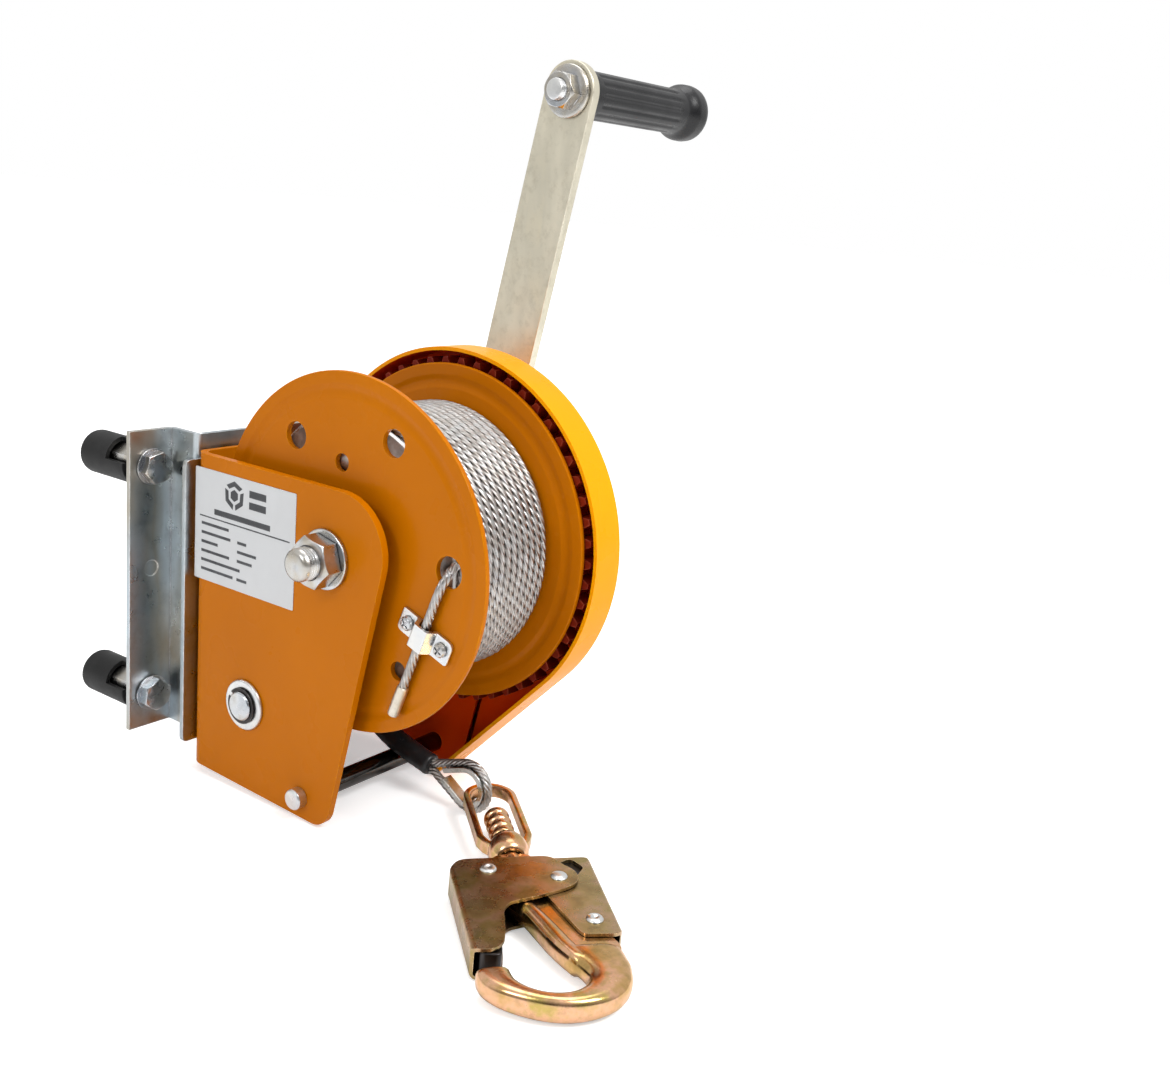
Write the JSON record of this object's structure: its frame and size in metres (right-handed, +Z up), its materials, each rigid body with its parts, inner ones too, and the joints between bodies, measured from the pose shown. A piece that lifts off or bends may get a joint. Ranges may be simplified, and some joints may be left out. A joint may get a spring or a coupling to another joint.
{
  "type": "hand brake winch",
  "caption": "Hand-cranked brake winch: geared rope drum in a U frame with a clamp bracket, a long crank with a turning grip, and a rope that ends in a swivel snap hook.",
  "frame": {"origin": "bottom centre of the winch's box, without the free rope end and its hook, on the surface it stands on", "axes": "+X along the drum shaft towards the crank handle, +Y towards the mounting bracket and its clamp bolts, +Z up"},
  "size_m": [0.3429, 0.3882, 0.4018],
  "materials": {
    "orange_paint": "orange powder coat, satin",
    "cover_paint": "yellow-orange powder coat, satin",
    "zinc": "bright zinc plate",
    "arm_zinc": "zinc plate with a warm tint",
    "black_steel": "black oxide steel",
    "gold_zinc": "yellow passivated zinc",
    "bronze": "sintered bronze bush",
    "rubber": "moulded black rubber",
    "rope_steel": "galvanised steel wire rope",
    "friction": "woven brake lining"
  },
  "bodies": {
    "root": {"frame": "orange_paint", "tie_rod": "black_steel", "mount_bracket": "zinc", "adapter_plate": "zinc", "frame_bolt_1": "zinc", "frame_bolt_2": "zinc", "frame_bolt_3": "zinc", "frame_bolt_4": "zinc", "bracket_bolt_1": "zinc", "bracket_bolt_2": "zinc", "bracket_bolt_3": "zinc", "bracket_bolt_4": "zinc", "rubber_buffer_1": "rubber", "rubber_buffer_2": "rubber", "rubber_buffer_3": "rubber", "rubber_buffer_4": "rubber", "main_shaft": "zinc", "shaft_washer": "zinc", "shaft_nut_left": "zinc", "shaft_nut_right": "zinc", "pinion_bush_left": "zinc", "pinion_bush_right": "bronze", "pawl_pin": "zinc", "pawl_spring": "black_steel", "gear_cover": "cover_paint", "cover_screw_1": "zinc", "cover_screw_2": "zinc", "rope_lead": "rope_steel", "rope_sleeve": "rubber", "rope_eye": "rope_steel", "thimble": "zinc"},
    "drum": {"drum_barrel": "orange_paint", "near_flange": "orange_paint", "far_flange": "orange_paint", "drum_bush_left": "bronze", "drum_bush_right": "bronze", "drum_gear": "black_steel", "rope_winding": "rope_steel", "rope_tail": "rope_steel", "rope_clamp": "zinc", "clamp_screw_1": "zinc", "clamp_screw_2": "zinc", "rope_ferrule": "zinc"},
    "crank": {"pinion_shaft": "zinc", "retaining_ring": "black_steel", "pressure_disc": "zinc", "friction_disc_inner": "friction", "ratchet_wheel": "black_steel", "friction_disc_outer": "friction", "crank_hub": "zinc", "crank_arm": "arm_zinc", "crank_nut": "zinc", "handle_pin": "zinc", "handle_nut": "zinc"},
    "grip": {"hand_grip": "rubber"},
    "pawl": {"pawl": "zinc"},
    "swivel": {"swivel_eye": "gold_zinc"},
    "hook": {"hook_body": "gold_zinc"},
    "gate": {"hook_gate": "gold_zinc"},
    "lever": {"lock_lever": "gold_zinc"}
  },
  "joints": [
    {"name": "drum_spin", "type": "hinge", "parent": "root", "child": "drum", "pos_m": [-0.0799, -0.0375, 0.1465], "axis": [1, 0, 0], "continuous": true},
    {"name": "pinion_spin", "type": "hinge", "parent": "root", "child": "crank", "pos_m": [-0.0299, 0.01922, 0.05173], "axis": [1, 0, 0], "continuous": true},
    {"name": "grip_spin", "type": "hinge", "parent": "crank", "child": "grip", "pos_m": [0.0901, -0.04682, 0.38525], "axis": [1, 0, 0], "continuous": true},
    {"name": "pawl_hinge", "type": "hinge", "parent": "root", "child": "pawl", "pos_m": [-0.0053, -0.0189, 0.0878], "axis": [1, 0, 0], "range_deg": [0, 25], "stiffness_Nm_per_rad": 0.05, "springref_deg": -11.46},
    {"name": "eye_pivot", "type": "hinge", "parent": "root", "child": "swivel", "pos_m": [-0.0599, -0.0971, 0.0126], "axis": [0, 0, 1], "range_deg": [-20, 20]},
    {"name": "hook_swivel", "type": "hinge", "parent": "swivel", "child": "hook", "pos_m": [-0.09099, -0.13364, 0.01091], "axis": [-0.6479, -0.7612, -0.0279], "continuous": true},
    {"name": "gate_hinge", "type": "hinge", "parent": "hook", "child": "gate", "pos_m": [-0.12498, -0.14934, 0.00996], "axis": [-0.0181, -0.0213, 0.9996], "range_deg": [0, 18], "stiffness_Nm_per_rad": 0.05, "springref_deg": -17.19},
    {"name": "lever_hinge", "type": "hinge", "parent": "hook", "child": "lever", "pos_m": [-0.12145, -0.20984, 0.00874], "axis": [-0.0181, -0.0213, 0.9996], "range_deg": [0, 8], "stiffness_Nm_per_rad": 0.05, "springref_deg": -17.19}
  ],
  "couplings": [
    {"joint": "pinion_spin", "follows": "drum_spin", "ratio": -5.3}
  ]
}
